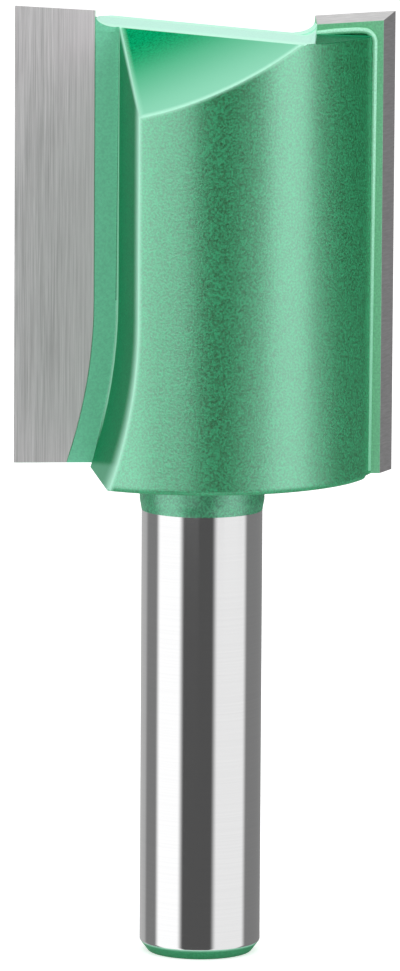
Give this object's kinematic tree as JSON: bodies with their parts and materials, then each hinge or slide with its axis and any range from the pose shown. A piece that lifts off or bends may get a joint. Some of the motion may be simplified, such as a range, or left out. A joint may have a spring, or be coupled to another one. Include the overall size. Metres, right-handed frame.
{
  "type": "router bit",
  "caption": "Straight flute router bit with brazed carbide blades, a painted head and a round ground shank.",
  "frame": {"origin": "centre of the flat shank end, on which the bit stands upright", "axes": "+Z along the axis from the shank end to the cutting end; one blade reaches out along +X and the other along -X"},
  "size_m": [0.0248, 0.0228, 0.0628],
  "materials": {
    "painted_body": "satin green paint on the head, ground bare steel shank",
    "carbide": "ground tungsten carbide"
  },
  "bodies": {
    "root": {"body": "painted_body", "carbide_blade_left": "carbide", "carbide_blade_right": "carbide"}
  },
  "joints": []
}
